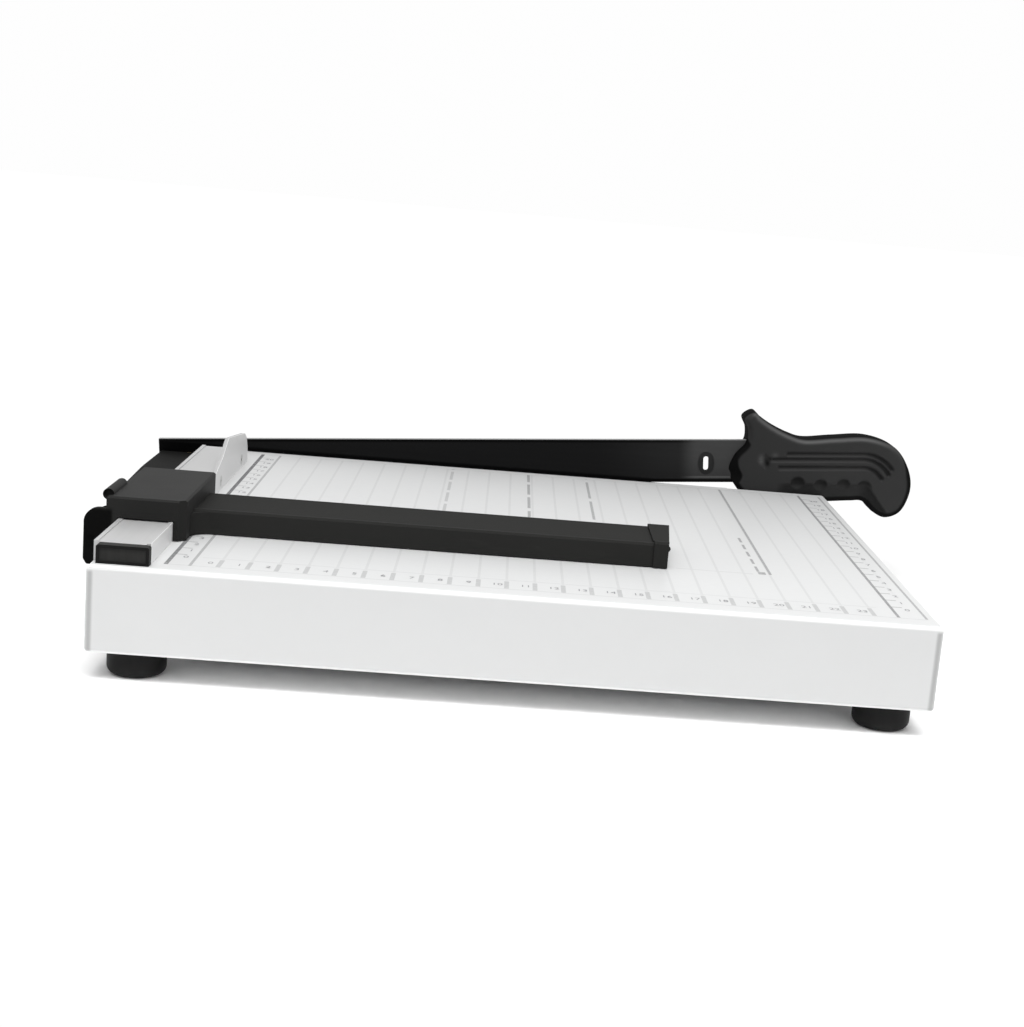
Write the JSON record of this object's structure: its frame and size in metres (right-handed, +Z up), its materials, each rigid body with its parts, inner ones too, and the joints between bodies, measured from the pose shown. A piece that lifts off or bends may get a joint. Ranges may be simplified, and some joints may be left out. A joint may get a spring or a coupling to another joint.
{
  "type": "paper trimmer",
  "caption": "Lever paper trimmer: a white folded steel table with a hinged blade along its far edge, a guide rail and a sliding paper stop with a cam lock lever.",
  "frame": {"origin": "middle of the box at rest, on the desk under the feet", "axes": "+X along the blade from the pivot towards the handle, +Y from the front edge towards the blade, +Z up"},
  "size_m": [0.3702, 0.2646, 0.08],
  "materials": {
    "white_enamel": "white powder coat with a printed grid on top",
    "black_enamel": "satin black paint",
    "ground_steel": "ground",
    "zinc_steel": "zinc plated",
    "rail_alloy": "satin anodised",
    "bearing_bronze": "plain",
    "black_plastic": "fine moulded grain",
    "handle_plastic": "fine moulded grain",
    "foot_rubber": "matt"
  },
  "bodies": {
    "base": {"base_tray": "white_enamel", "lower_knife": "ground_steel", "knife_screws": "zinc_steel", "knife_nuts": "zinc_steel", "foot_front_left": "foot_rubber", "foot_front_right": "foot_rubber", "foot_rear_left": "foot_rubber", "foot_rear_right": "foot_rubber", "foot_screws": "zinc_steel", "foot_nuts": "zinc_steel", "guide_rail": "rail_alloy", "rail_end_cap": "black_plastic", "rail_screws": "zinc_steel", "rail_fence": "rail_alloy", "fence_screws": "zinc_steel", "pivot_housing": "black_enamel", "housing_screws": "zinc_steel", "pivot_bolt": "zinc_steel", "thrust_washer": "bearing_bronze", "disc_springs": "ground_steel", "lock_nut": "zinc_steel", "set_screw": "black_enamel", "head_washer": "zinc_steel"},
    "blade_arm": {"blade": "black_enamel", "pivot_bush": "bearing_bronze", "handle_front_shell": "handle_plastic", "handle_back_shell": "handle_plastic", "handle_screws": "zinc_steel"},
    "stop": {"stop_block": "black_plastic", "stop_arm": "black_plastic", "arm_end_cap": "black_plastic", "arm_screws": "zinc_steel", "lever_pin": "zinc_steel"},
    "lever": {"lock_lever": "black_plastic"}
  },
  "joints": [
    {"name": "blade_swing", "type": "hinge", "parent": "base", "child": "blade_arm", "pos_m": [-0.17007, 0.11607, 0.032], "axis": [0, -1, 0], "range_deg": [-4.4, 55]},
    {"name": "stop_slide", "type": "slide", "parent": "base", "child": "stop", "axis": [0, 1, 0], "range_m": [-0.038, 0.026]},
    {"name": "lever_turn", "type": "hinge", "parent": "stop", "child": "lever", "pos_m": [-0.16427, -0.08342, 0.0474], "axis": [0, 1, 0], "range_deg": [0, 85]}
  ]
}
